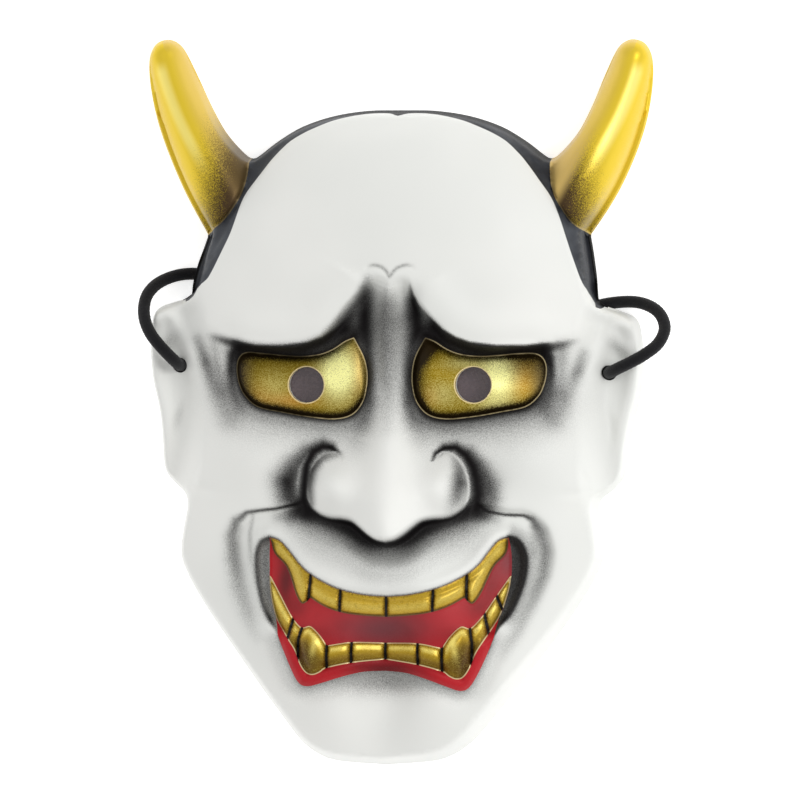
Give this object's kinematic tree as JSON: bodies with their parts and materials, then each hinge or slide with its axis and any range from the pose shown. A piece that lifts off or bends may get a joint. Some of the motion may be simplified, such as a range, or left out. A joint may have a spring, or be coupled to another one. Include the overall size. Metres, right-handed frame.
{
  "type": "hannya mask",
  "caption": "Horned demon face mask moulded as a thin shell with hollow horns, pupil holes, bared teeth and an elastic cord",
  "frame": {"origin": "on the floor under the middle of the shell, which lies on its rim", "axes": "+Z out of the face, +Y from the chin to the horns, +X towards the right of the face as seen from the front"},
  "size_m": [0.198, 0.2698, 0.0705],
  "materials": {
    "shell": "matt off-white with gold, red and sooty airbrushed paint",
    "lens": "smoky tinted film",
    "cord": "black braided elastic, slightly fuzzy"
  },
  "bodies": {
    "root": {"mask_shell": "shell", "eye_lens_left": "lens", "eye_lens_right": "lens", "elastic_cord": "cord", "cord_knot_left": "cord", "cord_knot_right": "cord"}
  },
  "joints": []
}
